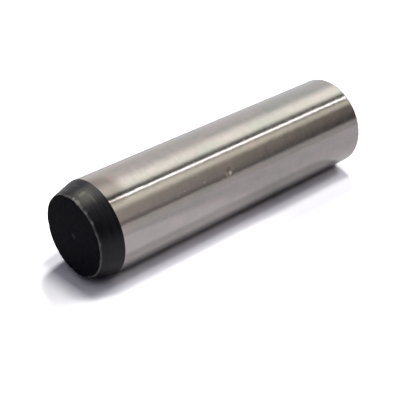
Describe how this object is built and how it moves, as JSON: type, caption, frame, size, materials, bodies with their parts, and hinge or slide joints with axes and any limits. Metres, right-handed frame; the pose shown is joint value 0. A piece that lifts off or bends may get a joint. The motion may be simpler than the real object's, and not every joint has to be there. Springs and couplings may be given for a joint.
{
  "type": "dowel pin",
  "caption": "Hardened, ground steel parallel pin with a blackened tapered lead end and a crowned tail, pressed into reamed holes to locate parts.",
  "frame": {"origin": "centre of the flat lead face, on the pin's axis, where the pin stands on a surface", "axes": "+Z along the pin's axis, from the flat lead face to the crown; X and Y are any pair across it, because the pin is round"},
  "size_m": [0.008, 0.008, 0.03],
  "materials": {
    "ground_steel": "hardened steel, centreless-ground side with fine marks round the pin, and both ends left black from hardening"
  },
  "bodies": {
    "root": {"dowel_pin": "ground_steel"}
  },
  "joints": []
}
